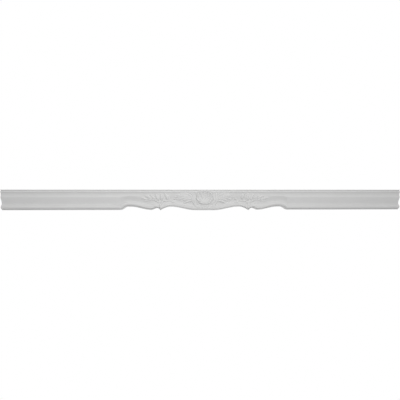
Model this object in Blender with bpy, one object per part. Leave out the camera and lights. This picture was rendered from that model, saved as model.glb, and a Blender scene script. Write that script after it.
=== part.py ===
"""A long casing moulding: a head piece with a serpentine lower edge and a carved middle."""
import bpy
import bmesh
import numpy as np

# Lengths are in millimetres: x runs along the casing from its middle, z up from mid height,
# and depth out from the wall.
LENGTH = 2400.0
HEIGHT = 121.6
TOP = HEIGHT / 2
BOTTOM = -HEIGHT / 2

# the moulding's members: drops are from the top edge down, rises from the lower outline up
FILLET_DEPTH = 26.5
FILLET_DROP = 1.8
HOLLOW_DEPTH = 21.5
ASTRAGAL_DROP = 7.6
ASTRAGAL_DEPTH = 29.5
CAVETTO_DROP = 15.0
CAVETTO_DEPTH = 27.6
FACE_TOP_DROP = 30.0
FACE_TOP_DEPTH = 23.0
FACE_DEPTH = 27.4
FACE_DROP = 47.0
OGEE_RISE = 75.0
COVE_DEPTH = 12.5
COVE_RISE = 35.0
BEAD_DEPTH = 25.5
BEAD_RISE = 19.5
BEAD_DROP = 15.0
LIP_DEPTH = 9.0
MIDDLE_LIP_DEPTH = 14.5
LIP_ROUND = 1.2
TOP_ROUND = 0.8
MIDDLE_FACE_DEPTH = 22.6
MIDDLE_COVE_DEPTH = 16.5
MIDDLE_FADE = (330.0, 500.0)

# the lower outline: a wide middle lobe, a crest, a cusp, a notch and a side crest on each half
LOBE_LIFT = -2.3
LOBE_FLAT = 55.0
CREST_X = 205.0
CREST_LIFT = 19.3
CUSP_X = 267.0
CUSP_LIFT = -2.8
NOTCH_X = 284.5
NOTCH_LIFT = 11.0
SIDE_X = 321.0
SIDE_CREST = (443.0, 461.0)
SERPENT_END = 503.0

# the carving
BED_DEPTH = 16.5
BED_SWELL = 3.5
BED_BELLY = 4.5
WALL_SLOPE = 1.6
LEAF_SLOPE = 1.1
SHELL_SLOPE = 1.9
UNDER_SLOPE = 1.0
LEAN_OUT = 5.0
CREASE = 0.7
SHELL_CREASE = 0.9

# the mesh
MM = 0.001
PITCH = 1.6
COLUMN_STEP = 2.0
CARVED_END = 414.0
SERPENT_COLUMNS = 22
PLAIN_COLUMNS = 6
TRIANGLES = 9500
SNAP = 0.0002
SHARP_ANGLE = 0.56


def ease(a, b, x):
    """Goes smoothly from 0 at a to 1 at b."""
    t = np.clip((x - a) / (b - a), 0, 1)
    return t * t * (3 - 2 * t)


def soft_max(a, b, k):
    """The larger of a and b, with the crease between them rounded over k."""
    h = np.clip(0.5 + 0.5 * (a - b) / k, 0, 1)
    return b + (a - b) * h + k * h * (1 - h)


def lift(x):
    """The height of the lower outline above the plain bottom edge."""
    x = np.abs(x)
    lobe = LOBE_LIFT + (CREST_LIFT - LOBE_LIFT) * ease(LOBE_FLAT, CREST_X, x)
    down = (np.clip(x - CREST_X, 0, None) / (CUSP_X - CREST_X)) ** 1.9
    fall = CREST_LIFT - (CREST_LIFT - CUSP_LIFT) * down
    down = (np.clip(NOTCH_X - x, 0, None) / (NOTCH_X - CUSP_X)) ** 1.7
    arch = NOTCH_LIFT - (NOTCH_LIFT - CUSP_LIFT) * down
    side = NOTCH_LIFT * (1 - ease(NOTCH_X, SIDE_X, x))
    rise = CREST_LIFT * ease(SIDE_X, SIDE_CREST[0], x)
    drop = CREST_LIFT * (1 - ease(SIDE_CREST[1], SERPENT_END, x))
    places = [x < CREST_X, x < CUSP_X, x < NOTCH_X, x < SIDE_X, x < SIDE_CREST[1]]
    return np.select(places, [lobe, fall, arch, side, rise], drop)


def outline_distance(x, z):
    """The distance from each point to the lower outline; x holds the columns and z every point."""
    reach, step = 62.0, 0.5
    xs = np.arange(-SERPENT_END - reach, SERPENT_END + reach + step, step)
    zs = BOTTOM + lift(xs)
    low = z - BOTTOM
    for i, column in enumerate(x):
        if abs(column) < SERPENT_END + 46:
            first, last = np.searchsorted(xs, (column - reach, column + reach))
            across = xs[first:last] - column
            up = zs[None, first:last] - z[:, i:i + 1]
            low[:, i] = np.sqrt((across ** 2 + up ** 2).min(1))
    return low


def fading(x, middle, end):
    """Goes over from the value in the middle of the casing to the one of the plain ends."""
    return middle + (end - middle) * ease(*MIDDLE_FADE, np.abs(x))


def upper_members(x, t):
    """The depth at t below the top edge: fillet, hollow, astragal, cavetto and the swelling face."""
    fillet = FILLET_DEPTH - TOP_ROUND * np.clip(1 - t / TOP_ROUND, 0, 1) ** 2
    s = np.clip((t - FILLET_DROP) / (ASTRAGAL_DROP - FILLET_DROP), 0, 1)
    hollow = HOLLOW_DEPTH + (FILLET_DEPTH - HOLLOW_DEPTH) * (1 - s) ** 1.8
    s = np.clip((2 * t - ASTRAGAL_DROP - CAVETTO_DROP) / (CAVETTO_DROP - ASTRAGAL_DROP), -1, 1)
    foot = np.where(s < 0, HOLLOW_DEPTH, CAVETTO_DEPTH)
    astragal = foot + (ASTRAGAL_DEPTH - foot) * np.sqrt(1 - s ** 2)
    s = np.clip((t - CAVETTO_DROP) / (FACE_TOP_DROP - CAVETTO_DROP), 0, 1)
    cavetto = FACE_TOP_DEPTH + (CAVETTO_DEPTH - FACE_TOP_DEPTH) * (1 - s) ** 2.5
    fullest = fading(x, MIDDLE_FACE_DEPTH, FACE_DEPTH)
    face = FACE_TOP_DEPTH + (fullest - FACE_TOP_DEPTH) * ease(FACE_TOP_DROP, FACE_DROP, t)
    ends = [t < FILLET_DROP, t < ASTRAGAL_DROP, t < CAVETTO_DROP, t < FACE_TOP_DROP]
    return np.select(ends, [fillet, hollow, astragal, cavetto], face)


def lower_members(x, low):
    """The depth at low from the lower outline: lip, bead, cove and the ogee that runs up to the face."""
    foot = LIP_DEPTH + (MIDDLE_LIP_DEPTH - LIP_DEPTH) * (1 - ease(CREST_X, SIDE_X, x))
    lip = foot - LIP_ROUND * np.clip(1 - low / LIP_ROUND, 0, 1) ** 2
    s = np.clip((BEAD_RISE - low) / BEAD_DROP, 0, 1)
    belly = foot - 1 + (BEAD_DEPTH - foot + 1) * np.sqrt(1 - s ** 2)
    cove = fading(x, MIDDLE_COVE_DEPTH, COVE_DEPTH)
    back = BEAD_DEPTH - (BEAD_DEPTH - cove) * ease(BEAD_RISE, COVE_RISE, low)
    ogee = cove + (fading(x, MIDDLE_FACE_DEPTH, FACE_DEPTH) + 0.6 - cove) * ease(COVE_RISE, OGEE_RISE, low)
    return np.where(low < BEAD_RISE, soft_max(lip, belly, 0.8), np.where(low < COVE_RISE, back, ogee))


def moulding(x, z, low):
    """The depth of the uncarved moulding."""
    t = TOP - z
    upper, lower = upper_members(x, t), lower_members(x, low)
    return np.where(t < FACE_TOP_DROP, upper, -soft_max(-upper, -lower, 1.5))


def spaced(breaks, pitch):
    """Places from the first break to the last, at most pitch apart, with one at every break."""
    runs = [np.linspace(a, b, int(np.ceil((b - a) / pitch)) + 1) for a, b in zip(breaks, breaks[1:])]
    return np.concatenate([runs[0]] + [run[1:] for run in runs[1:]])


def levels(x, pitch):
    """The heights of the points in each column: rows follow the members at both edges of the front."""
    lip = BEAD_RISE - BEAD_DROP
    drops = spaced((0, TOP_ROUND, FILLET_DROP, ASTRAGAL_DROP, CAVETTO_DROP, FACE_TOP_DROP), pitch)
    rises = spaced((0, LIP_ROUND, lip, lip + 0.8, BEAD_RISE, COVE_RISE), pitch)
    bottom = BOTTOM + lift(x) + rises[:, None]
    top = TOP - drops[::-1, None] + 0 * x
    share = np.linspace(0, 1, int((top[0] - bottom[-1]).max() / pitch) + 1)[1:-1, None]
    return np.concatenate([bottom, bottom[-1] + (top[0] - bottom[-1]) * share, top])


def bed(x, z):
    """The depth that the ornaments rise from."""
    belly = ease(-25, 12, z) - ease(14, 42, z)
    return BED_DEPTH + BED_SWELL * ease(-45, 25, z) + fading(x, 0, BED_BELLY) * belly


def bezier(*points, count=40):
    """Points along the Bezier curve that these points control."""
    t = np.linspace(0, 1, count)[:, None]
    rows = [np.repeat(np.array(p, float)[None, :], count, 0) for p in points]
    while len(rows) > 1:
        rows = [a * (1 - t) + b * t for a, b in zip(rows, rows[1:])]
    return rows[0]


def chain(*curves):
    """One path from curves that each start where the last one ends."""
    return np.concatenate([curves[0]] + [c[1:] for c in curves[1:]])


def curl(centre, start, end, first, last, count=40):
    """A spiral about centre from one angle in degrees to another, as its radius goes from first to last."""
    angle = np.radians(np.linspace(start, end, count))
    radius = first * (last / first) ** np.linspace(0, 1, count)
    return np.stack([centre[0] + radius * np.cos(angle), centre[1] + radius * np.sin(angle)], 1)


class Carving:
    """The depth of the front over a grid of points, built up one ornament at a time."""

    def __init__(self, x, z, ground):
        self.x, self.z, self.ground = x, z, ground
        self.depth = ground.copy()

    def near(self, path, reach):
        lo, hi = path.min(0) - reach, path.max(0) + reach
        inside = (self.x > lo[0]) & (self.x < hi[0]) & (self.z > lo[1]) & (self.z < hi[1])
        return np.nonzero(inside)

    def measure(self, spot, path, ts, ws):
        """For each point: its offset across the band (1 at the edge), place along it, side and half width."""
        px, pz = self.x[spot], self.z[spot]
        across, along, side, half = (np.full(len(px), v) for v in (1e9, 0.0, 1.0, 1.0))
        for i in range(len(path) - 1):
            run = path[i + 1] - path[i]
            square = run @ run
            if square > 1e-9:
                qx, qz = px - path[i, 0], pz - path[i, 1]
                u = np.clip((qx * run[0] + qz * run[1]) / square, 0, 1)
                dx, dz = qx - u * run[0], qz - u * run[1]
                w = np.maximum(ws[i] + (ws[i + 1] - ws[i]) * u, 0.05)
                s = np.hypot(dx, dz) / w
                less = s < across
                across[less], half[less] = s[less], w[less]
                along[less] = (ts[i] + (ts[i + 1] - ts[i]) * u)[less]
                side[less] = np.where(run[0] * dz - run[1] * dx < 0, -1, 1)[less]
        return across, along, side, half

    def raise_to(self, spot, top, inset, on, slope=WALL_SLOPE, soft=CREASE):
        """Lifts the front to top where on holds; its walls rise by slope for each step in from its edge."""
        value = -soft_max(-top, soft - self.ground[spot] - slope * inset, 2 * soft)
        old = self.depth[spot]
        self.depth[spot] = np.where(on, np.maximum(old, soft_max(old, value, soft)), old)

    def band(self, path, width, rise, section, slope=WALL_SLOPE):
        """Raises a band along path; width and rise go by the place along, section by that across too."""
        steps = np.linalg.norm(np.diff(path, axis=0), axis=1)
        ts = np.concatenate([[0], np.cumsum(steps)]) / steps.sum()
        ws = width(ts)
        spot = self.near(path, ws.max() + 1)
        across, along, side, half = self.measure(spot, path, ts, ws)
        s = np.clip(across, 0, 1)
        top = bed(self.x[spot], self.z[spot]) + rise(along) * section(s * side, along)
        self.raise_to(spot, top, (1 - s) * half, across < 1, slope)

    def leaf(self, path, half, rise, teeth=4, vein=0.26, stalk=0.3, blunt=0.85, fat=0.8, notch=0.2):
        """A leaf along path with a toothed edge, a sunk midrib and a furrow running in from each notch."""
        def width(t):
            plain = half * np.maximum(stalk * (1 - t), np.sin(np.pi * np.clip(t, 0, 1) ** fat) ** blunt)
            return plain * (1 - notch * (t * teeth % 1.0) ** 1.5 * (t < 1 - 0.5 / teeth))

        def section(s, t):
            a = np.abs(s)
            furrow = 0.5 - 0.5 * np.cos(2 * np.pi * (t * teeth - 0.45 * a))
            midrib = vein * np.exp(-(s / 0.17) ** 2) * np.clip(1.15 - t, 0, 1)
            return (1 - a ** 2.2) * (1 - 0.18 * a * furrow) - midrib

        def height(t):
            return rise * (0.62 + 0.38 * np.sin(np.pi * t ** 0.7))

        self.band(path, width, height, section, slope=LEAF_SLOPE)

    def stem(self, path, first, last, rise):
        self.band(path, lambda t: first + (last - first) * t, lambda t: rise + 0 * t,
                  lambda s, t: np.sqrt(np.clip(1 - s ** 2, 0, 1)))

    def scroll(self, path, first, middle, last, rise, hollow=0.35):
        """A ribbon with a hollowed face, fullest in the middle of its length."""
        def section(s, t):
            a = np.abs(s)
            face = 1 - hollow * (1 - np.clip(a / 0.72, 0, 1) ** 2)
            return face * (1 - np.clip((a - 0.72) / 0.28, 0, 1) ** 2)

        def width(t):
            return first + (last - first) * t + (middle - (first + last) / 2) * np.sin(np.pi * t) ** 2

        self.band(path, width, lambda t: rise + 0 * t, section)

    def dome(self, centre, half, rise):
        spot = self.near(np.array([centre], float), half + 1)
        s = np.hypot(self.x[spot] - centre[0], self.z[spot] - centre[1]) / half
        top = bed(self.x[spot], self.z[spot]) + rise * np.sqrt(np.clip(1 - s ** 2, 0, 1))
        self.raise_to(spot, top, (1 - np.clip(s, 0, 1)) * half, s < 1)

    def shell(self, hinge, centre, half_width, half_height, ribs, fan, rise):
        """A scallop of oval outline, dished above and full below, whose ribs fan out to a rolled rim."""
        box = np.array([[-half_width, centre - half_height], [half_width, centre + half_height]])
        spot = self.near(box, 6)
        dx, dz = self.x[spot], self.z[spot] - hinge
        r, a = np.hypot(dx, dz), np.arctan2(dx, dz)
        turn = a / np.radians(2 * fan / ribs)
        spread = (np.sin(a) / half_width) ** 2 + (np.cos(a) / half_height) ** 2
        lean = (centre - hinge) * np.cos(a) / half_height ** 2
        room = 1 - ((centre - hinge) / half_height) ** 2
        oval = (lean + np.sqrt(lean ** 2 + spread * room)) / spread
        rim = oval * (0.95 + 0.05 * np.abs(np.cos(np.pi * turn)) ** 0.7)
        rho = r / rim
        up = (self.z[spot] - centre) / half_height
        dish = 0.27 + 0.46 * (dx / half_width) ** 2 + 0.7 * up ** 2 - 0.5 * up
        roll = 0.12 * np.exp(-((rho - 0.93) / 0.055) ** 2)
        flute = 0.13 * np.cos(2 * np.pi * turn) * ease(0.10, 0.75, rho) * (1 - 0.35 * ease(0.86, 1.0, rho))
        flute = flute * (1 - ease(0.9 * fan, fan, np.degrees(np.abs(a))))
        lean_out = LEAN_OUT * ease(-0.1, 0.85, up)
        under = 1 - 0.5 * ease(0.35, 1.0, -up)
        top = bed(self.x[spot], self.z[spot]) + lean_out + rise * under * (dish + roll + flute)
        slope = SHELL_SLOPE - (SHELL_SLOPE - UNDER_SLOPE) * ease(0, 0.8, -up)
        self.raise_to(spot, top, np.clip(1 - rho, 0, 1) * rim, rho < 1, slope, SHELL_CREASE)


def plate(x, z, ground):
    """The moulding with the swelling plate that the shell lies on."""
    c = Carving(x, z, ground)
    c.dome((0, 2), 62.0, 4.0)
    return c.depth


def centrepiece(c):
    """The shell, the two scrolls that cradle it and the leaf that hangs below."""
    c.leaf(bezier((0, -26), (0, -54)), 11.0, 8.5, teeth=3, fat=0.9, vein=0.12)
    frame = chain(
        curl((19, -38), -430, -90, 2.4, 8.5),
        bezier((19, -46.5), (53, -47), (79, -21), (73, 10), (67, 36)),
        curl((56, 40), -20, 330, 11.0, 2.6),
    )
    c.scroll(frame, 2.6, 7.6, 3.0, 11)
    c.shell(-22, 14.5, 55, 46.5, 11, 112, 20.5)
    c.dome((19, -38), 3.8, 12.0)
    c.dome((56, 40), 4.0, 12.0)
    c.scroll(curl((41, -18), 100, -330, 9.0, 3.2), 3.4, 3.8, 2.6, 14)
    c.dome((41, -18), 4.6, 14.5)


def acanthus(c):
    """The long lobed leaf that sweeps out from the shell, over a low web."""
    lobe = {"vein": 0.16, "stalk": 0.6, "blunt": 0.65, "fat": 1.15, "notch": 0.14}
    c.leaf(bezier((66, 10), (108, 24), (178, 6)), 30.0, 3.0, teeth=7, vein=0, stalk=0.5, notch=0.1)
    c.leaf(bezier((70, 26), (76, 41), (96, 47), (122, 46)), 9.5, 8.0, teeth=4, **lobe)
    c.leaf(bezier((70, -8), (88, -4), (112, -8), (132, -27)), 10.5, 10.5, teeth=4, **lobe)
    c.leaf(bezier((74, 16), (96, 38), (122, 44), (150, 38)), 10.5, 8.0, teeth=5, **lobe)
    c.leaf(bezier((72, 0), (92, 10), (118, 8), (136, -9)), 10.5, 8.0, teeth=5, **lobe)
    c.leaf(bezier((86, 14), (112, 34), (146, 36), (172, 25)), 9.5, 8.0, teeth=5, **lobe)
    c.leaf(bezier((84, 8), (110, 20), (140, 14), (162, -5)), 10.5, 8.0, teeth=5, **lobe)
    c.leaf(bezier((72, 8), (104, 26), (150, 30), (188, 8)), 10.5, 9.5, teeth=7, fat=0.9, vein=0.3, stalk=0.8)


def inner_stem(c):
    """The stem that joins the tip of the long leaf to the cusp, with its two leaves."""
    stem = bezier((264, -18), (246, 4), (224, -18), (204, -4), (184, 4), (158, 14), count=60)
    c.leaf(bezier((227, -5), (219, 18), (244, 43)), 12.5, 10.0, teeth=5, fat=1.0)
    c.leaf(bezier((212, -4), (194, -14), (170, -15)), 8.5, 9.0, teeth=3)
    c.stem(stem, 5.6, 2.8, 13.0)


def cusp_scroll(c):
    """The knot above the cusp, with leaves up, down to the tip and along the edge on both sides."""
    c.leaf(bezier((264, -6), (252, 14), (266, 40)), 11.5, 10.5, teeth=5)
    c.leaf(bezier((208, -31), (240, -31), (266, -60)), 8.5, 12.0, teeth=5, vein=0.4, stalk=0.5)
    c.leaf(bezier((312, -42), (292, -28), (271, -54)), 7.5, 12.0, teeth=4, vein=0.4, stalk=0.5)
    c.leaf(bezier((266, -20), (268, -40), (267, -62)), 10.5, 12.0, teeth=4)
    c.scroll(curl((268, -14), 190, 590, 13.5, 3.4), 5.0, 5.2, 3.2, 10.5)
    c.dome((268, -14), 5.6, 11.5)


def side_spray(c):
    """The stem that runs out past the cusp, with its leaves."""
    stem = bezier((270, -16), (296, -10), (304, 8), (332, 12), (346, -6), (374, 4), count=60)
    c.leaf(bezier((281, -8), (278, 16), (300, 37)), 12.0, 10.5, teeth=5)
    c.leaf(bezier((298, -2), (306, 20), (334, 33)), 11.5, 10.5, teeth=5)
    c.leaf(bezier((318, 5), (334, 22), (364, 25)), 10.5, 10.5, teeth=5)
    c.leaf(bezier((346, 0), (366, 14), (394, 10)), 8.0, 10.5, teeth=4)
    c.leaf(bezier((314, 4), (332, 2), (346, -12)), 6.5, 9.5, teeth=3)
    c.leaf(bezier((342, -2), (356, -12), (376, -6)), 5.5, 9.0, teeth=3)
    c.stem(stem, 5.4, 2.8, 13.0)


def carve(x, z, ground):
    """The carved front: the plate and the ornaments of one half over the moulding."""
    c = Carving(x, z, plate(x, z, ground))
    inner_stem(c)
    side_spray(c)
    cusp_scroll(c)
    acanthus(c)
    centrepiece(c)
    return c.depth


def columns():
    """The places along one half where the front is worked out, close together where it is carved."""
    carved = np.arange(0, CARVED_END, COLUMN_STEP)
    serpent = np.linspace(CARVED_END, SERPENT_END, SERPENT_COLUMNS)
    plain = np.linspace(SERPENT_END, LENGTH / 2, PLAIN_COLUMNS)[1:]
    return np.concatenate([carved, serpent, plain])


def front():
    """The points on the front of one half: x by column, and z and depth by row and column."""
    x = columns()
    z = levels(x, PITCH)
    return x, z, carve(x + 0 * z, z, moulding(x, z, outline_distance(x, z)))


def half_mesh(x, z, depth):
    """One half as a closed mesh in metres: front, back, edges, square end and a cap at the middle."""
    bm = bmesh.new()
    wall = [[bm.verts.new((x[i] * MM, 0, row[i] * MM)) for i in range(len(x))] for row in (z[0], z[-1])]
    face = [[bm.verts.new((x[i] * MM, -out[i] * MM, row[i] * MM)) for i in range(len(x))]
            for row, out in zip(z, depth)]
    rings = [wall[0]] + face + [wall[1]]
    for low, high in zip(rings, rings[1:] + rings[:1]):
        for i in range(len(x) - 1):
            bm.faces.new((low[i], low[i + 1], high[i + 1], high[i]))
    for i in (0, len(x) - 1):
        bm.faces.new([ring[i] for ring in rings])
    bmesh.ops.recalc_face_normals(bm, faces=bm.faces)
    mesh = bpy.data.meshes.new("casing_half")
    bm.to_mesh(mesh)
    bm.free()
    return mesh


def thinned(mesh, triangles):
    """The same form with fewer triangles, fewest where it is flat."""
    rough = bpy.data.objects.new("casing_rough", mesh)
    bpy.context.collection.objects.link(rough)
    mesh.calc_loop_triangles()
    thin = rough.modifiers.new("Thin", "DECIMATE")
    thin.ratio = triangles / len(mesh.loop_triangles)
    result = bpy.data.meshes.new_from_object(rough.evaluated_get(bpy.context.evaluated_depsgraph_get()))
    bpy.data.objects.remove(rough)
    return result


def flatten(mesh):
    """Puts the points that thinning has left beside a plane side of the half exactly on that plane."""
    sides = ((0, 0), (0, LENGTH / 2), (1, 0), (2, TOP))
    for vert in mesh.vertices:
        for axis, place in sides:
            if abs(vert.co[axis] - place * MM) < SNAP:
                vert.co[axis] = place * MM
        if vert.co.x > 0.98 * SERPENT_END * MM and abs(vert.co.z - BOTTOM * MM) < SNAP:
            vert.co.z = BOTTOM * MM


def open_middle(mesh):
    """Takes away the cap at the middle, where the other half goes on."""
    bm = bmesh.new()
    bm.from_mesh(mesh)
    cap = [face for face in bm.faces if all(vert.co.x == 0 for vert in face.verts)]
    bmesh.ops.delete(bm, geom=cap, context="FACES")
    bm.to_mesh(mesh)
    bm.free()


def primer():
    """White factory primer on moulded polyurethane."""
    material = bpy.data.materials.new("primed_white")
    material.use_nodes = True
    shader = material.node_tree.nodes["Principled BSDF"]
    shader.inputs["Base Color"].default_value = (0.78, 0.78, 0.77, 1)
    shader.inputs["Roughness"].default_value = 0.55
    shader.inputs["Metallic"].default_value = 0
    return material


def main():
    for old in list(bpy.data.objects):
        bpy.data.objects.remove(old)
    mesh = thinned(half_mesh(*front()), TRIANGLES // 2)
    flatten(mesh)
    open_middle(mesh)
    mesh.materials.append(primer())
    mesh.shade_smooth()
    mesh.set_sharp_from_angle(angle=SHARP_ANGLE)
    casing = bpy.data.objects.new("casing_moulding", mesh)
    bpy.context.collection.objects.link(casing)
    mirror = casing.modifiers.new("Halves", "MIRROR")
    mirror.merge_threshold = 0.00001


main()
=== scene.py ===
"""A carved head casing in white factory primer, lit softly from the front."""

import bmesh
import bpy
import numpy as np
from mathutils import Euler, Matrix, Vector


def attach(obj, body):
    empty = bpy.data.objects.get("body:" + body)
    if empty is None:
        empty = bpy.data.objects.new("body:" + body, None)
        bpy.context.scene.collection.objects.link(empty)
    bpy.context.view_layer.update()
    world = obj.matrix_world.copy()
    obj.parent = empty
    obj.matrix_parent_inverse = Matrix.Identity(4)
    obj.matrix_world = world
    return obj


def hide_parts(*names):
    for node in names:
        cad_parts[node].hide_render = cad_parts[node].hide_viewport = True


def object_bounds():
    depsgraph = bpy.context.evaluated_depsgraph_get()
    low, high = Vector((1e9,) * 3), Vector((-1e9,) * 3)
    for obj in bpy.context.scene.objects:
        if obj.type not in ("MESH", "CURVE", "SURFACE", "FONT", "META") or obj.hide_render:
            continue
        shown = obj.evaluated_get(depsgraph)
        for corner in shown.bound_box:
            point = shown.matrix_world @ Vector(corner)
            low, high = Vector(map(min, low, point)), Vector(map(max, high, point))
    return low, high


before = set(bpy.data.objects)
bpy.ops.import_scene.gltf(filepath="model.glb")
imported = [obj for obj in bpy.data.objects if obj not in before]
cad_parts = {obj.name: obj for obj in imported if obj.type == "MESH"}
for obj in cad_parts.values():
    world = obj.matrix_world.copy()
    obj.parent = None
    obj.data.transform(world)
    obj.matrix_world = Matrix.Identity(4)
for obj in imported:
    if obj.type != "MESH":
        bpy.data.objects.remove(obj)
solid_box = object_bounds()

# Lengths are in millimetres: x runs along the casing from its middle, z up from mid height,
# and depth out from the wall.
LENGTH = 2400.0
HEIGHT = 121.6
TOP = HEIGHT / 2
BOTTOM = -HEIGHT / 2

# the moulding's members: drops are from the top edge down, rises from the lower outline up
FILLET_DEPTH = 26.5
FILLET_DROP = 1.8
HOLLOW_DEPTH = 21.5
ASTRAGAL_DROP = 7.6
ASTRAGAL_DEPTH = 29.5
CAVETTO_DROP = 15.0
CAVETTO_DEPTH = 27.6
FACE_TOP_DROP = 30.0
FACE_TOP_DEPTH = 23.0
FACE_DEPTH = 27.4
FACE_DROP = 47.0
OGEE_RISE = 75.0
COVE_DEPTH = 12.5
COVE_RISE = 35.0
BEAD_DEPTH = 25.5
BEAD_RISE = 19.5
BEAD_DROP = 15.0
LIP_DEPTH = 9.0
MIDDLE_LIP_DEPTH = 14.5
LIP_ROUND = 1.2
TOP_ROUND = 0.8
MIDDLE_FACE_DEPTH = 22.6
MIDDLE_COVE_DEPTH = 16.5
MIDDLE_FADE = (330.0, 500.0)
LIP_CREASE = 0.8
FACE_CREASE = 1.5
OGEE_OVER = 0.6

# the lower outline: a wide middle lobe, a crest, a cusp, a notch and a side crest on each half
LOBE_LIFT = -2.3
LOBE_FLAT = 55.0
CREST_X = 205.0
CREST_LIFT = 19.3
CUSP_X = 267.0
CUSP_LIFT = -2.8
NOTCH_X = 284.5
NOTCH_LIFT = 11.0
SIDE_X = 321.0
SIDE_CREST = (443.0, 461.0)
SERPENT_END = 503.0
OUTLINE_REACH = 62.0
OUTLINE_STEP = 0.5
CURVE_REACH = 46.0

# the carving
BED_DEPTH = 16.5
BED_SWELL = 3.5
BED_BELLY = 4.5
WALL_SLOPE = 1.6
LEAF_SLOPE = 1.1
SHELL_SLOPE = 1.9
UNDER_SLOPE = 1.0
LEAN_OUT = 5.0
CREASE = 0.7
SHELL_CREASE = 0.9

# the fine cuts, as shares of the height of what they are cut in
VEIN = 0.28
LINE = 0.09
GROWTH = 0.02

# the mesh
MM = 0.001
PITCH = 1.1
COLUMN_STEP = 1.15
CARVED_END = 414.0
PLAIN_COLUMNS = 30
RUN_POINTS = 14
JOIN = 0.000005
SHARP_ANGLE = 1.3
SOFTENING = 2
HOLLOW_SPANS = (6, 30)
HOLLOW_GAIN = 0.2

# the finishes
PRIMER = (0.80, 0.80, 0.797, 1)
PRIMER_THIN = (0.765, 0.765, 0.76, 1)
# painted shade, darkening the primer in the hollows
HOLLOW_SHADE = (0.75, 0.75, 0.745, 1)
# painted highlight, lightening the primer on the crests
CREST_HIGHLIGHT = (0.84, 0.84, 0.838, 1)
SPECK = (0.58, 0.58, 0.57, 1)
PIT = (0.60, 0.60, 0.59, 1)
CORE = (0.80, 0.77, 0.69, 1)
CORE_DEEP = (0.72, 0.68, 0.58, 1)
CORE_CELL = (0.52, 0.47, 0.38, 1)
FLOOR_PALE = (0.84, 0.84, 0.84, 1)
FLOOR_SHADE = (0.80, 0.80, 0.80, 1)
WHITE = (1, 1, 1, 1)

# how high the finishes stand, in metres
PEEL_HEIGHT = 0.0002
FINE_HEIGHT = 0.00005
PIN_DEPTH = 0.0003
CUTTER_HEIGHT = 0.0004
CELL_DEPTH = 0.00025
BLOW_DEPTH = 0.0008

# the studio, in metres, degrees and watts
EYE = (-0.110, -2.022, 0.0437)
EYE_TURN = 2.317
EYE_DIP = 1.285
LENS = 29.95
FILM = 36.0
FLOOR_LEVEL = -2.05
FLOOR = ((-3.5, -3.2), (3.5, -3.2), (3.5, 0.8), (-3.5, 0.8))
SURROUND_WAY = (0.45, 0.0, 0.89)
SURROUND_ABOVE = 0.58
SURROUND_BELOW = 0.08
KEY_PLACE = (-0.12, -2.3, 0.68)
KEY_SIZE = (1.0, 0.5)
KEY_POWER = 23.0
BACK_PLACE = (0.3, 3.0, 1.2)
BACK_SIZE = (1.6, 0.8)
BACK_POWER = 25.0


def ease(a, b, x):
    """Goes smoothly from 0 at a to 1 at b."""
    t = np.clip((x - a) / (b - a), 0, 1)
    return t * t * (3 - 2 * t)


def soft_max(a, b, k):
    """The larger of a and b, with the crease between them rounded over k."""
    h = np.clip(0.5 + 0.5 * (a - b) / k, 0, 1)
    return b + (a - b) * h + k * h * (1 - h)


def lift(x):
    """The height of the lower outline above the plain bottom edge."""
    x = np.abs(x)
    lobe = LOBE_LIFT + (CREST_LIFT - LOBE_LIFT) * ease(LOBE_FLAT, CREST_X, x)
    down = (np.clip(x - CREST_X, 0, None) / (CUSP_X - CREST_X)) ** 1.9
    fall = CREST_LIFT - (CREST_LIFT - CUSP_LIFT) * down
    down = (np.clip(NOTCH_X - x, 0, None) / (NOTCH_X - CUSP_X)) ** 1.7
    arch = NOTCH_LIFT - (NOTCH_LIFT - CUSP_LIFT) * down
    side = NOTCH_LIFT * (1 - ease(NOTCH_X, SIDE_X, x))
    rise = CREST_LIFT * ease(SIDE_X, SIDE_CREST[0], x)
    drop = CREST_LIFT * (1 - ease(SIDE_CREST[1], SERPENT_END, x))
    places = [x < CREST_X, x < CUSP_X, x < NOTCH_X, x < SIDE_X, x < SIDE_CREST[1]]
    return np.select(places, [lobe, fall, arch, side, rise], drop)


def outline_distance(x, z):
    """The distance from each point to the lower outline; x holds the columns and z every point."""
    far = SERPENT_END + OUTLINE_REACH
    xs = np.arange(-far, far + OUTLINE_STEP, OUTLINE_STEP)
    zs = BOTTOM + lift(xs)
    low = z - BOTTOM
    for i, column in enumerate(x):
        if abs(column) < SERPENT_END + CURVE_REACH:
            first, last = np.searchsorted(xs, (column - OUTLINE_REACH, column + OUTLINE_REACH))
            across = xs[first:last] - column
            up = zs[None, first:last] - z[:, i:i + 1]
            low[:, i] = np.sqrt((across ** 2 + up ** 2).min(1))
    return low


def fading(x, middle, end):
    """Goes over from the value in the middle of the casing to the one of the plain ends."""
    return middle + (end - middle) * ease(*MIDDLE_FADE, np.abs(x))


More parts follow.
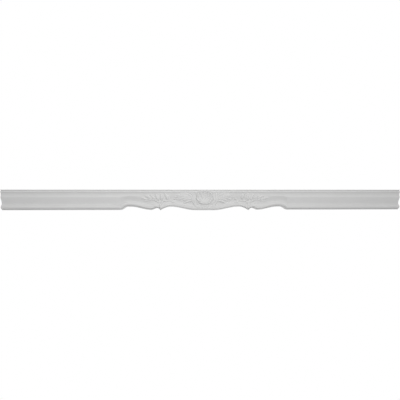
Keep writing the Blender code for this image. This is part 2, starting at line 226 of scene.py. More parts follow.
def upper_members(x, t):
    """The depth at t below the top edge: fillet, hollow, astragal, cavetto and the swelling face."""
    fillet = FILLET_DEPTH - TOP_ROUND * np.clip(1 - t / TOP_ROUND, 0, 1) ** 2
    s = np.clip((t - FILLET_DROP) / (ASTRAGAL_DROP - FILLET_DROP), 0, 1)
    hollow = HOLLOW_DEPTH + (FILLET_DEPTH - HOLLOW_DEPTH) * (1 - s) ** 1.8
    s = np.clip((2 * t - ASTRAGAL_DROP - CAVETTO_DROP) / (CAVETTO_DROP - ASTRAGAL_DROP), -1, 1)
    foot = np.where(s < 0, HOLLOW_DEPTH, CAVETTO_DEPTH)
    astragal = foot + (ASTRAGAL_DEPTH - foot) * np.sqrt(1 - s ** 2)
    s = np.clip((t - CAVETTO_DROP) / (FACE_TOP_DROP - CAVETTO_DROP), 0, 1)
    cavetto = FACE_TOP_DEPTH + (CAVETTO_DEPTH - FACE_TOP_DEPTH) * (1 - s) ** 2.5
    fullest = fading(x, MIDDLE_FACE_DEPTH, FACE_DEPTH)
    face = FACE_TOP_DEPTH + (fullest - FACE_TOP_DEPTH) * ease(FACE_TOP_DROP, FACE_DROP, t)
    ends = [t < FILLET_DROP, t < ASTRAGAL_DROP, t < CAVETTO_DROP, t < FACE_TOP_DROP]
    return np.select(ends, [fillet, hollow, astragal, cavetto], face)


def lower_members(x, low):
    """The depth at low from the lower outline: lip, bead, cove and the ogee that runs up to the face."""
    foot = LIP_DEPTH + (MIDDLE_LIP_DEPTH - LIP_DEPTH) * (1 - ease(CREST_X, SIDE_X, x))
    lip = foot - LIP_ROUND * np.clip(1 - low / LIP_ROUND, 0, 1) ** 2
    s = np.clip((BEAD_RISE - low) / BEAD_DROP, 0, 1)
    belly = foot - 1 + (BEAD_DEPTH - foot + 1) * np.sqrt(1 - s ** 2)
    cove = fading(x, MIDDLE_COVE_DEPTH, COVE_DEPTH)
    back = BEAD_DEPTH - (BEAD_DEPTH - cove) * ease(BEAD_RISE, COVE_RISE, low)
    fullest = fading(x, MIDDLE_FACE_DEPTH, FACE_DEPTH) + OGEE_OVER
    ogee = cove + (fullest - cove) * ease(COVE_RISE, OGEE_RISE, low)
    foot_and_bead = soft_max(lip, belly, LIP_CREASE)
    return np.where(low < BEAD_RISE, foot_and_bead, np.where(low < COVE_RISE, back, ogee))


def moulding(x, z, low):
    """The depth of the uncarved moulding."""
    t = TOP - z
    upper, lower = upper_members(x, t), lower_members(x, low)
    return np.where(t < FACE_TOP_DROP, upper, -soft_max(-upper, -lower, FACE_CREASE))


def spaced(breaks, pitch):
    """Places from the first break to the last, at most pitch apart, with one at every break."""
    runs = [np.linspace(a, b, int(np.ceil((b - a) / pitch)) + 1) for a, b in zip(breaks, breaks[1:])]
    return np.concatenate([runs[0]] + [run[1:] for run in runs[1:]])


def levels(x, pitch):
    """The heights of the points in each column: rows follow the members at both edges of the front."""
    lip = BEAD_RISE - BEAD_DROP
    drops = spaced((0, TOP_ROUND, FILLET_DROP, ASTRAGAL_DROP, CAVETTO_DROP, FACE_TOP_DROP), pitch)
    rises = spaced((0, LIP_ROUND, lip, lip + LIP_CREASE, BEAD_RISE, COVE_RISE), pitch)
    bottom = BOTTOM + lift(x) + rises[:, None]
    top = TOP - drops[::-1, None] + 0 * x
    share = np.linspace(0, 1, int((top[0] - bottom[-1]).max() / pitch) + 1)[1:-1, None]
    return np.concatenate([bottom, bottom[-1] + (top[0] - bottom[-1]) * share, top])


def bed(x, z):
    """The depth that the ornaments rise from."""
    belly = ease(-25, 12, z) - ease(14, 42, z)
    return BED_DEPTH + BED_SWELL * ease(-45, 25, z) + fading(x, 0, BED_BELLY) * belly


def bezier(*points, count=40):
    """Points along the Bezier curve that these points control."""
    t = np.linspace(0, 1, count)[:, None]
    rows = [np.repeat(np.array(p, float)[None, :], count, 0) for p in points]
    while len(rows) > 1:
        rows = [a * (1 - t) + b * t for a, b in zip(rows, rows[1:])]
    return rows[0]


def chain(*curves):
    """One path from curves that each start where the last one ends."""
    return np.concatenate([curves[0]] + [c[1:] for c in curves[1:]])


def curl(centre, start, end, first, last, count=40):
    """A spiral about centre from one angle in degrees to another, as its radius goes from first to last."""
    angle = np.radians(np.linspace(start, end, count))
    radius = first * (last / first) ** np.linspace(0, 1, count)
    return np.stack([centre[0] + radius * np.cos(angle), centre[1] + radius * np.sin(angle)], 1)


class Carving:
    """The depth of the front over a grid of points, built up one ornament at a time."""

    def __init__(self, x, z, ground):
        self.x, self.z, self.ground = x, z, ground
        self.depth = ground.copy()

    def near(self, path, reach):
        """The grid points within reach of the box round a path."""
        lo, hi = path.min(0) - reach, path.max(0) + reach
        inside = (self.x > lo[0]) & (self.x < hi[0]) & (self.z > lo[1]) & (self.z < hi[1])
        return np.nonzero(inside)

    def measure(self, spot, path, ts, ws):
        """For each point: its offset across the band (1 at the edge), place along it, side and half width."""
        px, pz = self.x[spot], self.z[spot]
        across, along, side, half = (np.full(len(px), v) for v in (1e9, 0.0, 1.0, 1.0))
        for i in range(len(path) - 1):
            run = path[i + 1] - path[i]
            square = run @ run
            if square > 1e-9:
                qx, qz = px - path[i, 0], pz - path[i, 1]
                u = np.clip((qx * run[0] + qz * run[1]) / square, 0, 1)
                dx, dz = qx - u * run[0], qz - u * run[1]
                w = np.maximum(ws[i] + (ws[i + 1] - ws[i]) * u, 0.05)
                s = np.hypot(dx, dz) / w
                less = s < across
                across[less], half[less] = s[less], w[less]
                along[less] = (ts[i] + (ts[i + 1] - ts[i]) * u)[less]
                side[less] = np.where(run[0] * dz - run[1] * dx < 0, -1, 1)[less]
        return across, along, side, half

    def raise_to(self, spot, top, inset, on, slope=WALL_SLOPE, soft=CREASE):
        """Lifts the front to top where on holds; its walls rise by slope for each step in from its edge."""
        value = -soft_max(-top, soft - self.ground[spot] - slope * inset, 2 * soft)
        old = self.depth[spot]
        self.depth[spot] = np.where(on, np.maximum(old, soft_max(old, value, soft)), old)

    def band(self, path, width, rise, section, slope=WALL_SLOPE):
        """Raises a band along path; width and rise go by the place along, section by that across too."""
        steps = np.linalg.norm(np.diff(path, axis=0), axis=1)
        ts = np.concatenate([[0], np.cumsum(steps)]) / steps.sum()
        ws = width(ts)
        spot = self.near(path, ws.max() + 1)
        across, along, side, half = self.measure(spot, path, ts, ws)
        s = np.clip(across, 0, 1)
        top = bed(self.x[spot], self.z[spot]) + rise(along) * section(s * side, along)
        self.raise_to(spot, top, (1 - s) * half, across < 1, slope)

    def leaf(self, path, half, rise, teeth=4, vein=0.26, stalk=0.3, blunt=0.85, fat=0.8, notch=0.2):
        """A leaf along path with a toothed edge, a sunk midrib and a furrow running in from each notch."""
        def width(t):
            plain = half * np.maximum(stalk * (1 - t), np.sin(np.pi * np.clip(t, 0, 1) ** fat) ** blunt)
            return plain * (1 - notch * (t * teeth % 1.0) ** 1.5 * (t < 1 - 0.5 / teeth))

        def section(s, t):
            a = np.abs(s)
            furrow = 0.5 - 0.5 * np.cos(2 * np.pi * (t * teeth - 0.45 * a))
            midrib = vein * np.exp(-(s / 0.17) ** 2) * np.clip(1.15 - t, 0, 1)
            branch = np.exp(-(np.sin(np.pi * (1.5 * t * teeth - 0.9 * a)) / 0.4) ** 2)
            veins = VEIN * branch * ease(0.15, 0.4, a) * (1 - a)
            return (1 - a ** 2.2) * (1 - 0.18 * a * furrow) - midrib - veins

        def height(t):
            return rise * (0.62 + 0.38 * np.sin(np.pi * t ** 0.7))

        self.band(path, width, height, section, slope=LEAF_SLOPE)

    def stem(self, path, first, last, rise):
        """A round stem with two cut lines, whose half width goes from first to last."""
        def section(s, t):
            lines = np.exp(-((np.abs(s) - 0.42) / 0.12) ** 2)
            return np.sqrt(np.clip(1 - s ** 2, 0, 1)) - LINE * lines

        self.band(path, lambda t: first + (last - first) * t, lambda t: rise + 0 * t, section)

    def scroll(self, path, first, middle, last, rise, hollow=0.35):
        """A ribbon with a hollowed face, fullest in the middle of its length."""
        def section(s, t):
            a = np.abs(s)
            face = 1 - hollow * (1 - np.clip(a / 0.72, 0, 1) ** 2) - LINE * np.exp(-((a - 0.5) / 0.1) ** 2)
            return face * (1 - np.clip((a - 0.72) / 0.28, 0, 1) ** 2)

        def width(t):
            return first + (last - first) * t + (middle - (first + last) / 2) * np.sin(np.pi * t) ** 2

        self.band(path, width, lambda t: rise + 0 * t, section)

    def dome(self, centre, half, rise):
        """A round boss about centre."""
        spot = self.near(np.array([centre], float), half + 1)
        s = np.hypot(self.x[spot] - centre[0], self.z[spot] - centre[1]) / half
        top = bed(self.x[spot], self.z[spot]) + rise * np.sqrt(np.clip(1 - s ** 2, 0, 1))
        self.raise_to(spot, top, (1 - np.clip(s, 0, 1)) * half, s < 1)

    def shell(self, hinge, centre, half_width, half_height, ribs, fan, rise):
        """A scallop of oval outline, dished above and full below, whose ribs fan out to a rolled rim."""
        box = np.array([[-half_width, centre - half_height], [half_width, centre + half_height]])
        spot = self.near(box, 6)
        dx, dz = self.x[spot], self.z[spot] - hinge
        r, a = np.hypot(dx, dz), np.arctan2(dx, dz)
        turn = a / np.radians(2 * fan / ribs)
        square = (np.sin(a) / half_width) ** 2 + (np.cos(a) / half_height) ** 2
        lean = (centre - hinge) * np.cos(a) / half_height ** 2
        room = 1 - ((centre - hinge) / half_height) ** 2
        oval = (lean + np.sqrt(lean ** 2 + square * room)) / square
        rim = oval * (0.95 + 0.05 * np.abs(np.cos(np.pi * turn)) ** 0.7)
        rho = r / rim
        up = (self.z[spot] - centre) / half_height
        dish = 0.27 + 0.46 * (dx / half_width) ** 2 + 0.7 * up ** 2 - 0.5 * up
        roll = 0.12 * np.exp(-((rho - 0.93) / 0.055) ** 2)
        flute = 0.13 * np.cos(2 * np.pi * turn) * ease(0.10, 0.75, rho) * (1 - 0.35 * ease(0.86, 1.0, rho))
        flute = flute * (1 - ease(0.9 * fan, fan, np.degrees(np.abs(a))))
        lean_out = LEAN_OUT * ease(-0.1, 0.85, up)
        under = 1 - 0.5 * ease(0.35, 1.0, -up)
        seam = np.exp(-(np.cos(np.pi * turn) / 0.16) ** 2) * ease(0.2, 0.5, rho) * (1 - ease(0.8, 0.9, rho))
        growth = GROWTH * np.cos(2 * np.pi * 8 * rho) * ease(0.3, 0.5, rho) * (1 - ease(0.8, 0.88, rho))
        fine = growth - LINE * seam
        top = bed(self.x[spot], self.z[spot]) + lean_out + rise * under * (dish + roll + flute + fine)
        slope = SHELL_SLOPE - (SHELL_SLOPE - UNDER_SLOPE) * ease(0, 0.8, -up)
        self.raise_to(spot, top, np.clip(1 - rho, 0, 1) * rim, rho < 1, slope, SHELL_CREASE)


def plate(x, z, ground):
    """The moulding with the swelling plate that the shell lies on."""
    c = Carving(x, z, ground)
    c.dome((0, 2), 62.0, 4.0)
    return c.depth


def centrepiece(c):
    """The shell, the two scrolls that cradle it and the leaf that hangs below."""
    c.leaf(bezier((0, -26), (0, -54)), 11.0, 8.5, teeth=3, fat=0.9, vein=0.12)
    cradle = chain(
        curl((19, -38), -430, -90, 2.4, 8.5),
        bezier((19, -46.5), (53, -47), (79, -21), (73, 10), (67, 36)),
        curl((56, 40), -20, 330, 11.0, 2.6),
    )
    c.scroll(cradle, 2.6, 7.6, 3.0, 11)
    c.shell(-22, 14.5, 55, 46.5, 11, 112, 20.5)
    c.dome((19, -38), 3.8, 12.0)
    c.dome((56, 40), 4.0, 12.0)
    c.scroll(curl((41, -18), 100, -330, 9.0, 3.2), 3.4, 3.8, 2.6, 14)
    c.dome((41, -18), 4.6, 14.5)


def acanthus(c):
    """The long lobed leaf that sweeps out from the shell, over a low web."""
    lobe = {"vein": 0.16, "stalk": 0.6, "blunt": 0.65, "fat": 1.15, "notch": 0.14}
    c.leaf(bezier((66, 10), (108, 24), (178, 6)), 30.0, 3.0, teeth=7, vein=0, stalk=0.5, notch=0.1)
    c.leaf(bezier((70, 26), (76, 41), (96, 47), (122, 46)), 9.5, 8.0, teeth=4, **lobe)
    c.leaf(bezier((70, -8), (88, -4), (112, -8), (132, -27)), 10.5, 10.5, teeth=4, **lobe)
    c.leaf(bezier((74, 16), (96, 38), (122, 44), (150, 38)), 10.5, 8.0, teeth=5, **lobe)
    c.leaf(bezier((72, 0), (92, 10), (118, 8), (136, -9)), 10.5, 8.0, teeth=5, **lobe)
    c.leaf(bezier((86, 14), (112, 34), (146, 36), (172, 25)), 9.5, 8.0, teeth=5, **lobe)
    c.leaf(bezier((84, 8), (110, 20), (140, 14), (162, -5)), 10.5, 8.0, teeth=5, **lobe)
    c.leaf(bezier((72, 8), (104, 26), (150, 30), (188, 8)), 10.5, 9.5, teeth=7, fat=0.9, vein=0.3, stalk=0.8)


def inner_stem(c):
    """The stem that joins the tip of the long leaf to the cusp, with its two leaves."""
    stem = bezier((264, -18), (246, 4), (224, -18), (204, -4), (184, 4), (158, 14), count=60)
    c.leaf(bezier((227, -5), (219, 18), (244, 43)), 12.5, 10.0, teeth=5, fat=1.0)
    c.leaf(bezier((212, -4), (194, -14), (170, -15)), 8.5, 9.0, teeth=3)
    c.stem(stem, 5.6, 2.8, 13.0)


def cusp_scroll(c):
    """The knot above the cusp, with leaves up, down to the tip and along the edge on both sides."""
    c.leaf(bezier((264, -6), (252, 14), (266, 40)), 11.5, 10.5, teeth=5)
    c.leaf(bezier((208, -31), (240, -31), (266, -60)), 8.5, 12.0, teeth=5, vein=0.4, stalk=0.5)
    c.leaf(bezier((312, -42), (292, -28), (271, -54)), 7.5, 12.0, teeth=4, vein=0.4, stalk=0.5)
    c.leaf(bezier((266, -20), (268, -40), (267, -62)), 10.5, 12.0, teeth=4)
    c.scroll(curl((268, -14), 190, 590, 13.5, 3.4), 5.0, 5.2, 3.2, 10.5)
    c.dome((268, -14), 5.6, 11.5)


def side_spray(c):
    """The stem that runs out past the cusp, with its leaves."""
    stem = bezier((270, -16), (296, -10), (304, 8), (332, 12), (346, -6), (374, 4), count=60)
    c.leaf(bezier((281, -8), (278, 16), (300, 37)), 12.0, 10.5, teeth=5)
    c.leaf(bezier((298, -2), (306, 20), (334, 33)), 11.5, 10.5, teeth=5)
    c.leaf(bezier((318, 5), (334, 22), (364, 25)), 10.5, 10.5, teeth=5)
    c.leaf(bezier((346, 0), (366, 14), (394, 10)), 8.0, 10.5, teeth=4)
    c.leaf(bezier((314, 4), (332, 2), (346, -12)), 6.5, 9.5, teeth=3)
    c.leaf(bezier((342, -2), (356, -12), (376, -6)), 5.5, 9.0, teeth=3)
    c.stem(stem, 5.4, 2.8, 13.0)


def carve(x, z, ground):
    """The carved front: the plate and the ornaments of one half over the moulding."""
    c = Carving(x, z, plate(x, z, ground))
    inner_stem(c)
    side_spray(c)
    cusp_scroll(c)
    acanthus(c)
    centrepiece(c)
    return c.depth


def columns():
    """The places along one half of the middle where the front is worked out."""
    carved = np.arange(0, CARVED_END, COLUMN_STEP)
    plain = np.linspace(CARVED_END, SERPENT_END, PLAIN_COLUMNS)
    return np.concatenate([carved, plain])


def softened(values, times):
    """The values over the grid after each is averaged with its neighbours this many times."""
    for _ in range(times):
        wide = np.pad(values, 1, mode="edge")
        beside = wide[:-2, 1:-1] + wide[2:, 1:-1] + wide[1:-1, :-2] + wide[1:-1, 2:]
        values = (beside + 4 * values) / 8
    return values


def front():
    """The front of the whole middle: x by column, and z, depth and hollowness by row and column."""
    x = columns()
    z = levels(x, PITCH)
    ground = moulding(x, z, outline_distance(x, z))
    depth = ground + softened(carve(x + 0 * z, z, ground) - ground, SOFTENING)
    low, high = (np.array(corner) / MM for corner in solid_box)
    z, depth = np.clip(z, low[2], high[2]), np.minimum(depth, -low[1])
    both = [np.concatenate([grid[:, :0:-1], grid], 1) for grid in (z, depth)]
    # how hollow each point is, from which the primer paints shade into the hollows and a highlight onto the
    # crests
    hollow = sum(softened(both[1], times) - both[1] for times in HOLLOW_SPANS)
    tone = np.clip(0.5 + HOLLOW_GAIN * hollow, 0, 1)
    return np.concatenate([-x[:0:-1], x]), both[0], both[1], tone


def ring_at(z, depth, hollow):
    """The points round the casing at one column, with how hollow it is at each of them."""
    points = [(0, z[0])] + list(zip(depth, z)) + [(0, z[-1])]
    return np.array(points), np.concatenate([[0.5], hollow, [0.5]])


def note_hollow(mesh, values):
    """Keeps on the mesh how hollow it is at each point: 0 on a crest, 1 deep in a hollow. The primer paints
    shade into the hollows and a highlight onto the crests by it.
    """
    mesh.attributes.new("hollow", "FLOAT", "POINT").data.foreach_set("value", values.astype(np.float32))


def middle_mesh(x, z, depth, hollow):
    """The middle of the casing, open at both ends."""
    rings, tones = zip(*[ring_at(z[:, i], depth[:, i], hollow[:, i]) for i in range(len(x))])
    count = len(rings[0])
    points = [(x[i] * MM, -p[0] * MM, p[1] * MM) for i, ring in enumerate(rings) for p in ring]
    faces = []
    for i in range(len(x) - 1):
        a, b = i * count, (i + 1) * count
        for j in range(count):
            k = (j + 1) % count
            faces.append((a + j, b + j, b + k, a + k))
    mesh = bpy.data.meshes.new("casing_middle")
    mesh.from_pydata(points, [], faces)
    note_hollow(mesh, np.concatenate(tones))
    return mesh


def sockets(tree, way, wanted):
    """Gives a node tree its named sockets and returns their identifiers by name."""
    found = {}
    for name, kind, value in wanted:
        socket = tree.interface.new_socket(name=name, in_out=way, socket_type="NodeSocket" + kind)
        if value is not None:
            socket.default_value = value
        found[name] = socket.identifier
    return found


def add(tree, kind, links=(), values=(), **settings):
    """A new node; links and values are pairs of an input's name or number and what goes into it."""
    node = tree.nodes.new(kind)
    for name, value in settings.items():
        setattr(node, name, value)
    for name, source in links:
        tree.links.new(source, node.inputs[name])
    for name, value in values:
        node.inputs[name].default_value = value
    return node


def feed(tree, node, places, values):
    """Fills a node's inputs at these places with numbers, colours or other nodes' outputs."""
    for place, value in zip(places, values):
        if isinstance(value, (int, float, tuple)):
            node.inputs[place].default_value = value
        else:
            tree.links.new(value, node.inputs[place])


def plain_run_tree():
    """Draws the section of the casing out straight from Start to End."""
    tree = bpy.data.node_groups.new("plain_run", "GeometryNodeTree")
    names = sockets(tree, "INPUT", (
        ("Section", "Geometry", None),
        ("Start", "Float", SERPENT_END * MM),
        ("End", "Float", LENGTH / 2 * MM),
        ("Points", "Int", 8),
        ("Finish", "Material", None),
    ))
    sockets(tree, "OUTPUT", (("Run", "Geometry", None),))
    given = add(tree, "NodeGroupInput").outputs
    start = add(tree, "ShaderNodeCombineXYZ", [("X", given["Start"])])
    end = add(tree, "ShaderNodeCombineXYZ", [("X", given["End"])])
    ends = [("Start", start.outputs[0]), ("End", end.outputs[0])]
    line = add(tree, "GeometryNodeCurvePrimitiveLine", ends)
    path = add(tree, "GeometryNodeResampleCurve", [("Curve", line.outputs[0]), ("Count", given["Points"])])
    outline = add(tree, "GeometryNodeMeshToCurve", [("Mesh", given["Section"])])
    curves = [("Curve", path.outputs[0]), ("Profile Curve", outline.outputs[0])]
    run = add(tree, "GeometryNodeCurveToMesh", curves)
    real = add(tree, "GeometryNodeRealizeInstances", [("Geometry", run.outputs[0])])
    finish = [("Geometry", real.outputs[0]), ("Material", given["Finish"])]
    made = add(tree, "GeometryNodeSetMaterial", finish)
    add(tree, "NodeGroupOutput", [("Run", made.outputs[0])])
    return tree, names


def plain_run(tree, names, points, tones, start, end, finish):
    """One plain run of the casing, open at both ends."""
    count = len(points)
    outline = bpy.data.meshes.new("casing_section")
    sides = [(i, (i + 1) % count) for i in range(count)]
    outline.from_pydata([(p[0] * MM, -p[1] * MM, 0) for p in points], sides, [])
    note_hollow(outline, tones)
    piece = bpy.data.objects.new("casing_run", outline)
    bpy.context.collection.objects.link(piece)
    sweep = piece.modifiers.new("Run", "NODES")
    sweep.node_group = tree
    for name, value in (("Start", start), ("End", end), ("Points", RUN_POINTS), ("Finish", finish)):
        sweep[names[name]] = value
    drawn = piece.evaluated_get(bpy.context.evaluated_depsgraph_get())
    mesh = bpy.data.meshes.new_from_object(drawn)
    piece.modifiers.remove(sweep)
    bpy.data.objects.remove(piece)
    return mesh


def casing():
    """The whole casing as one closed piece: the carved middle, two plain runs and two square ends."""
    finish, core = primer(), bare_core()
    x, z, depth, hollow = front()
    tree, names = plain_run_tree()
    points, tones = ring_at(z[:, -1], depth[:, -1], hollow[:, -1])
    near, far = SERPENT_END * MM, LENGTH / 2 * MM
    parts = [middle_mesh(x, z, depth, hollow)]
    for start, end in ((near, far), (-far, -near)):
        parts.append(plain_run(tree, names, points, tones, start, end, finish))
    bm = bmesh.new()
    for part in parts:
        bm.from_mesh(part)
    bmesh.ops.remove_doubles(bm, verts=bm.verts, dist=JOIN)
    open_edges = [edge for edge in bm.edges if edge.is_boundary]
    bmesh.ops.holes_fill(bm, edges=open_edges, sides=0)
    bmesh.ops.triangulate(bm, faces=bm.faces, quad_method="SHORT_EDGE")
    bmesh.ops.recalc_face_normals(bm, faces=bm.faces)
    for face in bm.faces:
        cut = abs(face.normal.x) > 0.99 and abs(face.calc_center_median().x) > 0.99 * far
        face.material_index = int(cut or face.normal.y > 0.99)
    mesh = bpy.data.meshes.new("head_casing")
    bm.to_mesh(mesh)
    bm.free()
    mesh.materials.append(finish)
    mesh.materials.append(core)
    mesh.shade_smooth()
    mesh.set_sharp_from_angle(angle=SHARP_ANGLE)
    piece = bpy.data.objects.new("head_casing", mesh)
    bpy.context.collection.objects.link(piece)
    return piece


def unevenness():
    """A group that gives slow, fine and streaked unevenness of a surface, each from 0 to 1."""
    tree = bpy.data.node_groups.new("unevenness", "ShaderNodeTree")
    sockets(tree, "INPUT", (("Slow", "Float", 9.0), ("Fine", "Float", 700.0), ("Streak", "Float", 260.0)))
    sockets(tree, "OUTPUT", (("Slow", "Float", None), ("Fine", "Float", None), ("Streak", "Float", None)))
    given = add(tree, "NodeGroupInput").outputs
    place = add(tree, "ShaderNodeTexCoord").outputs["Object"]
    drawn = add(tree, "ShaderNodeMapping", [("Vector", place)], [("Scale", (0.02, 1, 1))]).outputs[0]

    def noise(scale, where, detail, roughness):
        links = [("Vector", where), ("Scale", given[scale])]
        values = [("Detail", detail), ("Roughness", roughness)]
        return add(tree, "ShaderNodeTexNoise", links, values).outputs[0]

    slow = noise("Slow", place, 4, 0.6)
    fine = noise("Fine", place, 2, 0.5)
    streak = noise("Streak", drawn, 3, 0.5)
    add(tree, "NodeGroupOutput", [(0, slow), (1, fine), (2, streak)])
    return tree


def pinholes():
    """A group that gives small round holes, 1 inside and 0 outside; Share is how many cells have one."""
    tree = bpy.data.node_groups.new("pinholes", "ShaderNodeTree")
    sockets(tree, "INPUT", (("Scale", "Float", 120.0), ("Size", "Float", 0.12), ("Share", "Float", 0.1)))
    sockets(tree, "OUTPUT", (("Hole", "Float", None),))
    given = add(tree, "NodeGroupInput").outputs
    place = add(tree, "ShaderNodeTexCoord").outputs["Object"]
    cells = add(tree, "ShaderNodeTexVoronoi", [("Vector", place), ("Scale", given["Scale"])])
    lot = add(tree, "ShaderNodeSeparateColor", [("Color", cells.outputs["Color"])])
    kept = combined(tree, "LESS_THAN", lot.outputs[0], given["Share"])
    inner = combined(tree, "MULTIPLY", given["Size"], 0.55)
    links = [("Value", cells.outputs["Distance"]), ("From Min", inner), ("From Max", given["Size"])]
    values = [("To Min", 1.0), ("To Max", 0.0)]
    round_hole = add(tree, "ShaderNodeMapRange", links, values, interpolation_type="SMOOTHSTEP").outputs[0]
    add(tree, "NodeGroupOutput", [(0, combined(tree, "MULTIPLY", round_hole, kept))])
    return tree


def use(tree, group, **values):
    """A copy of the group in a material, with its inputs set."""
    node = add(tree, "ShaderNodeGroup", node_tree=bpy.data.node_groups[group])
    for name, value in values.items():
        node.inputs[name].default_value = value
    return node.outputs


def spread(tree, source, low, high, first, last):
    """The source from low to high drawn out from first to last."""
    values = [("From Min", low), ("From Max", high), ("To Min", first), ("To Max", last)]
    return add(tree, "ShaderNodeMapRange", [("Value", source)], values).outputs[0]


def combined(tree, work, a, b):
    """Two sources or numbers worked together as one."""
    node = add(tree, "ShaderNodeMath", operation=work)
    feed(tree, node, (0, 1), (a, b))
    return node.outputs[0]


def tint(tree, share, first, second):
    """The first colour going over to the second as share goes from 0 to 1."""
    node = add(tree, "ShaderNodeMix", [("Factor", share)], data_type="RGBA")
    feed(tree, node, (6, 7), (first, second))
    return node.outputs[2]


def bump(tree, height, distance, under=None):
    """Raises the surface by height times distance, over the normals from under."""
    node = add(tree, "ShaderNodeBump", [("Height", height)], [("Distance", distance), ("Strength", 1.0)])
    if under is not None:
        tree.links.new(under, node.inputs["Normal"])
    return node.outputs[0]


def blank(name):
    """A new material, with its tree and its shader."""
    material = bpy.data.materials.new(name)
    material.use_nodes = True
    tree = material.node_tree
    return material, tree, tree.nodes["Principled BSDF"]


def primer():
    """Sprayed white primer: faint orange peel, painted highlight and a smoother finish on the crests, painted
    shade and a rougher finish in the hollows.
    """
    material, tree, shader = blank("primer_white")
    uneven = use(tree, "unevenness", Slow=7.0, Fine=620.0, Streak=190.0)
    place = add(tree, "ShaderNodeTexCoord").outputs["Object"]
    grain = [("Scale", 260.0), ("Detail", 1.0)]
    peel = add(tree, "ShaderNodeTexNoise", [("Vector", place)], grain).outputs[0]
    hole = use(tree, "pinholes", Scale=75.0, Size=0.055, Share=0.07)["Hole"]
    speck = use(tree, "pinholes", Scale=48.0, Size=0.03, Share=0.10)["Hole"]
    hollow = add(tree, "ShaderNodeAttribute", attribute_name="hollow").outputs["Fac"]
    tone = tint(tree, spread(tree, uneven["Slow"], 0.3, 0.7, 0, 1), PRIMER, PRIMER_THIN)
    tone = tint(tree, spread(tree, uneven["Streak"], 0.35, 0.75, 0, 0.35), tone, PRIMER_THIN)
    # painted highlight: on the crests the primer's colour is lightened towards this
    tone = tint(tree, spread(tree, hollow, 0.48, 0.1, 0, 1), tone, CREST_HIGHLIGHT)
    # painted shade: deep in the hollows the primer's colour is darkened towards this grey, broken by a fine
    # noise; the same mask makes it rougher there
    hollow_shade_mask = spread(tree, hollow, 0.55, 1.0, 0, 1)
    hollow_shade_share = combined(tree, "MULTIPLY", hollow_shade_mask, spread(tree, uneven["Fine"], 0.3, 0.8, 0.25, 0.6))
    tone = tint(tree, hollow_shade_share, tone, HOLLOW_SHADE)
    tone = tint(tree, combined(tree, "MULTIPLY", speck, 0.5), tone, SPECK)
    tone = tint(tree, combined(tree, "MULTIPLY", hole, 0.6), tone, PIT)
    tree.links.new(tone, shader.inputs["Base Color"])
    rough = spread(tree, uneven["Slow"], 0.3, 0.7, 0.50, 0.60)
    rough = combined(tree, "ADD", rough, combined(tree, "MULTIPLY", hollow_shade_mask, 0.2))
    crest = spread(tree, hollow, 0.5, 0.1, 0, 0.08)
    tree.links.new(combined(tree, "SUBTRACT", rough, crest), shader.inputs["Roughness"])
    skin = bump(tree, peel, PEEL_HEIGHT)
    skin = bump(tree, uneven["Fine"], FINE_HEIGHT, skin)
    skin = bump(tree, combined(tree, "SUBTRACT", 1.0, hole), PIN_DEPTH, skin)
    tree.links.new(skin, shader.inputs["Normal"])
    return material


def bare_core():
    """The cut and planed foam behind the primer: closed cells, cutter lines and a mist of overspray."""
    material, tree, shader = blank("foam_core")
    uneven = use(tree, "unevenness", Slow=5.0, Fine=900.0, Streak=300.0)
    cell = use(tree, "pinholes", Scale=420.0, Size=0.34, Share=0.55)["Hole"]
    blow = use(tree, "pinholes", Scale=60.0, Size=0.09, Share=0.22)["Hole"]
    tone = tint(tree, spread(tree, uneven["Streak"], 0.3, 0.7, 0, 1), CORE, CORE_DEEP)
    tone = tint(tree, combined(tree, "MULTIPLY", cell, 0.35), tone, CORE_CELL)
    tone = tint(tree, combined(tree, "MULTIPLY", blow, 0.7), tone, CORE_CELL)
    tone = tint(tree, spread(tree, uneven["Slow"], 0.48, 0.66, 0, 0.75), tone, PRIMER)
    tree.links.new(tone, shader.inputs["Base Color"])
    tree.links.new(spread(tree, uneven["Fine"], 0.3, 0.7, 0.72, 0.9), shader.inputs["Roughness"])
    skin = bump(tree, uneven["Streak"], CUTTER_HEIGHT)
    skin = bump(tree, combined(tree, "SUBTRACT", 1.0, cell), CELL_DEPTH, skin)
    skin = bump(tree, combined(tree, "SUBTRACT", 1.0, blow), BLOW_DEPTH, skin)
    tree.links.new(skin, shader.inputs["Normal"])
    return material


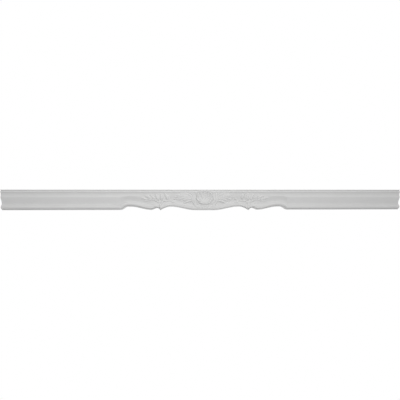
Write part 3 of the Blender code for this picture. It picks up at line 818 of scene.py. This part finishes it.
def studio():
    """A pale floor far below the casing and a white surround, brightest above and to the right."""
    world = bpy.data.worlds.new("surround")
    bpy.context.scene.world = world
    world.use_nodes = True
    tree = world.node_tree
    glow = tree.nodes["Background"]
    glow.inputs["Color"].default_value = WHITE
    way = add(tree, "ShaderNodeTexCoord").outputs["Generated"]
    share = add(tree, "ShaderNodeVectorMath", [(0, way)], [(1, SURROUND_WAY)], operation="DOT_PRODUCT")
    strength = spread(tree, share.outputs["Value"], -0.6, 0.6, SURROUND_BELOW, SURROUND_ABOVE)
    tree.links.new(strength, glow.inputs["Strength"])
    seen = add(tree, "ShaderNodeBackground", values=[("Color", WHITE), ("Strength", 1.0)])
    ray = add(tree, "ShaderNodeLightPath").outputs["Is Camera Ray"]
    both = add(tree, "ShaderNodeMixShader", [(0, ray), (1, glow.outputs[0]), (2, seen.outputs[0])])
    tree.links.new(both.outputs[0], tree.nodes["World Output"].inputs["Surface"])
    mesh = bpy.data.meshes.new("floor")
    mesh.from_pydata([(x, y, FLOOR_LEVEL) for x, y in FLOOR], [], [(0, 1, 2, 3)])
    floor = bpy.data.objects.new("floor", mesh)
    bpy.context.collection.objects.link(floor)
    material, tree, shader = blank("pale_floor")
    # the white is only there for the camera, so it isn't sampled as a lamp
    material.cycles.emission_sampling = "NONE"
    uneven = use(tree, "unevenness", Slow=1.2, Fine=60.0, Streak=8.0)
    tree.links.new(tint(tree, uneven["Slow"], FLOOR_PALE, FLOOR_SHADE), shader.inputs["Base Color"])
    shader.inputs["Roughness"].default_value = 0.9
    white = add(tree, "ShaderNodeEmission", values=[("Color", WHITE), ("Strength", 1.0)])
    ray = add(tree, "ShaderNodeLightPath").outputs["Is Camera Ray"]
    both = add(tree, "ShaderNodeMixShader", [(0, ray), (1, shader.outputs[0]), (2, white.outputs[0])])
    tree.links.new(both.outputs[0], tree.nodes["Material Output"].inputs["Surface"])
    mesh.materials.append(material)


def lamp(name, place, size, power):
    """A soft rectangular lamp, turned to the middle of the casing."""
    light = bpy.data.lights.new(name, "AREA")
    light.shape = "RECTANGLE"
    light.size, light.size_y = size
    light.energy = power
    piece = bpy.data.objects.new(name, light)
    piece.location = place
    piece.rotation_euler = (-Vector(place)).to_track_quat("-Z", "Y").to_euler()
    piece.visible_camera = False
    bpy.context.collection.objects.link(piece)


def camera():
    """The camera in front of the middle, a little to the left."""
    data = bpy.data.cameras.new("camera")
    data.sensor_width = FILM
    data.lens = LENS
    piece = bpy.data.objects.new("camera", data)
    piece.location = EYE
    piece.rotation_euler = Euler((np.radians(90 - EYE_DIP), 0, np.radians(-EYE_TURN)))
    bpy.context.collection.objects.link(piece)
    bpy.context.scene.camera = piece


def main():
    """Sets up the camera, the finishes, the studio and the casing."""
    bpy.context.scene.view_settings.view_transform = "Standard"
    camera()
    unevenness()
    pinholes()
    studio()
    lamp("key_lamp", KEY_PLACE, KEY_SIZE, KEY_POWER)
    lamp("back_lamp", BACK_PLACE, BACK_SIZE, BACK_POWER)
    piece = casing()
    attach(piece, "root")
    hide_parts("casing_moulding")


main()
